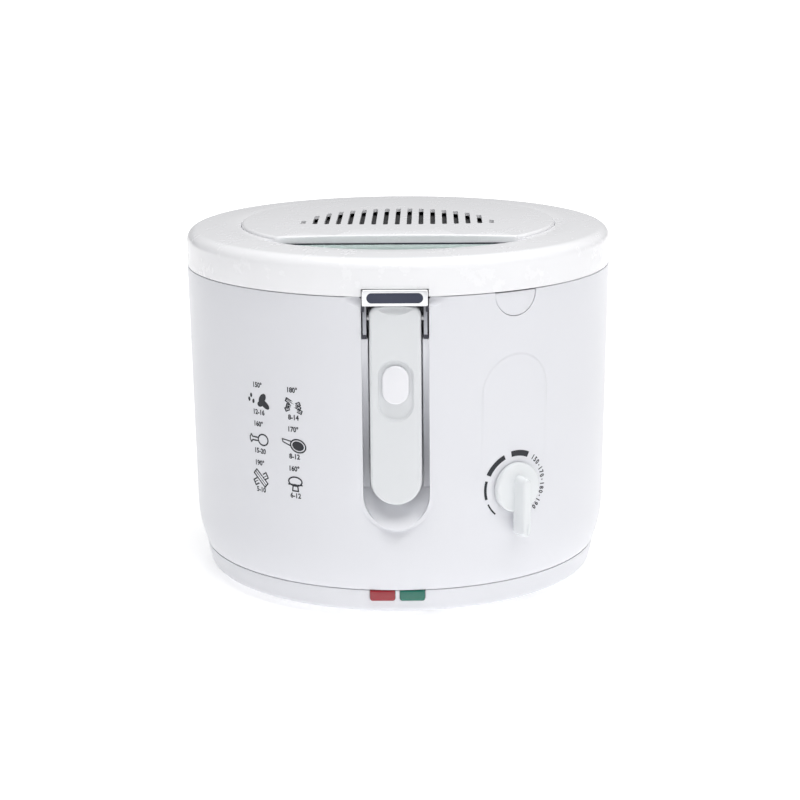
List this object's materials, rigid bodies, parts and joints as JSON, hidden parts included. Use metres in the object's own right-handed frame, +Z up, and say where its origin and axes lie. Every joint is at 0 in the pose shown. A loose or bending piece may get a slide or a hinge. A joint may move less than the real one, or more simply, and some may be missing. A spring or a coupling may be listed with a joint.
{
  "type": "deep fryer",
  "caption": "Round electric deep fryer: hinged lid with window and filter vents, coated bowl, and a wire basket raised by a folding front handle.",
  "frame": {"origin": "centre of the drum on the surface that the feet stand on", "axes": "+Z up along the drum, the handle and lamps face -Y, the dial is towards +X, the lid's hinge is at +Y"},
  "size_m": [0.265, 0.2675, 0.2238],
  "materials": {
    "housing_white": "glossy white moulded plastic",
    "lid_white": "glossy white moulded plastic",
    "handle_white": "satin white moulded plastic",
    "bracket_chrome": "polished chrome plate",
    "pin_steel": "plain drawn steel",
    "inner_lid_steel": "satin pressed sheet",
    "bowl_coating": "dark non-stick coating on pressed aluminium",
    "basket_wire": null,
    "seal_silicone": "grey silicone",
    "foot_rubber": "matt black rubber",
    "window_glass": "clear greenish glass",
    "filter_foam": "open charcoal foam",
    "mesh_steel": "fine woven steel mesh",
    "lens_red": "transparent red plastic",
    "lens_green": "transparent green plastic",
    "black_plastic": "heat-proof black moulding",
    "capillary_copper": "drawn copper",
    "element_steel": "heat-darkened steel sheath",
    "neon_glass": "small glass bulb"
  },
  "bodies": {
    "base": {"housing": "housing_white", "base_pan": "housing_white", "rim_collar": "housing_white", "handle_bracket": "bracket_chrome", "handle_pin": "pin_steel", "lid_hinge_pin": "pin_steel", "thermostat_body": "pin_steel", "heat_shield": "pin_steel", "base_screw_1": "pin_steel", "base_screw_2": "pin_steel", "base_screw_3": "pin_steel", "base_screw_4": "pin_steel", "bowl": "bowl_coating", "foot_1": "foot_rubber", "foot_2": "foot_rubber", "foot_3": "foot_rubber", "foot_4": "foot_rubber", "cord_gland": "foot_rubber", "lens_red": "lens_red", "lens_green": "lens_green", "lamp_holder": "black_plastic", "terminal_block": "black_plastic", "thermal_cutout": "black_plastic", "capillary_tube": "capillary_copper", "heating_element": "element_steel", "neon_red": "neon_glass", "neon_green": "neon_glass"},
    "lid": {"lid_shell": "lid_white", "inner_lid": "inner_lid_steel", "lid_seal": "seal_silicone", "window_glass": "window_glass", "window_inner": "window_glass", "filter_pad": "filter_foam", "grease_mesh": "mesh_steel", "lid_hook": "lid_white"},
    "filter_cover": {"filter_cover": "lid_white"},
    "handle": {"handle_grip": "handle_white", "handle_back": "handle_white", "lock_spring": "pin_steel"},
    "lock_button": {"lock_button": "handle_white"},
    "basket": {"basket_mesh": "basket_wire", "basket_rim": "basket_wire", "basket_hanger": "basket_wire"},
    "release_button": {"release_button": "housing_white"},
    "dial": {"dial_knob": "housing_white", "thermostat_shaft": "pin_steel"}
  },
  "joints": [
    {"name": "lid_hinge", "type": "hinge", "parent": "base", "child": "lid", "pos_m": [0, 0.128, 0.203], "axis": [-1, 0, 0], "range_deg": [0, 85]},
    {"name": "filter_cover_lift", "type": "slide", "parent": "lid", "child": "filter_cover", "axis": [0, 0, 1], "range_m": [0, 0.03]},
    {"name": "handle_fold", "type": "hinge", "parent": "base", "child": "handle", "pos_m": [0, -0.1255, 0.1845], "axis": [-1, 0, 0], "range_deg": [0, 90]},
    {"name": "basket_lift", "type": "slide", "parent": "base", "child": "basket", "axis": [0, 0, 1], "range_m": [0, 0.052]},
    {"name": "lock_slide", "type": "slide", "parent": "handle", "child": "lock_button", "axis": [0, 0, -1], "range_m": [0, 0.0045], "stiffness_N_per_m": 150, "springref_m": -0.002, "deforming": ["lock_spring"]},
    {"name": "release_press", "type": "slide", "parent": "base", "child": "release_button", "axis": [-0.5299, 0.848, 0], "range_m": [0, 0.0025], "stiffness_N_per_m": 400},
    {"name": "dial_turn", "type": "hinge", "parent": "base", "child": "dial", "pos_m": [0.07018, -0.11016, 0.079], "axis": [-0.5373, 0.8434, 0], "range_deg": [0, 310]}
  ],
  "couplings": [
    {"joint": "basket_lift", "follows": "handle_fold", "m_per_rad": 0.0331}
  ]
}
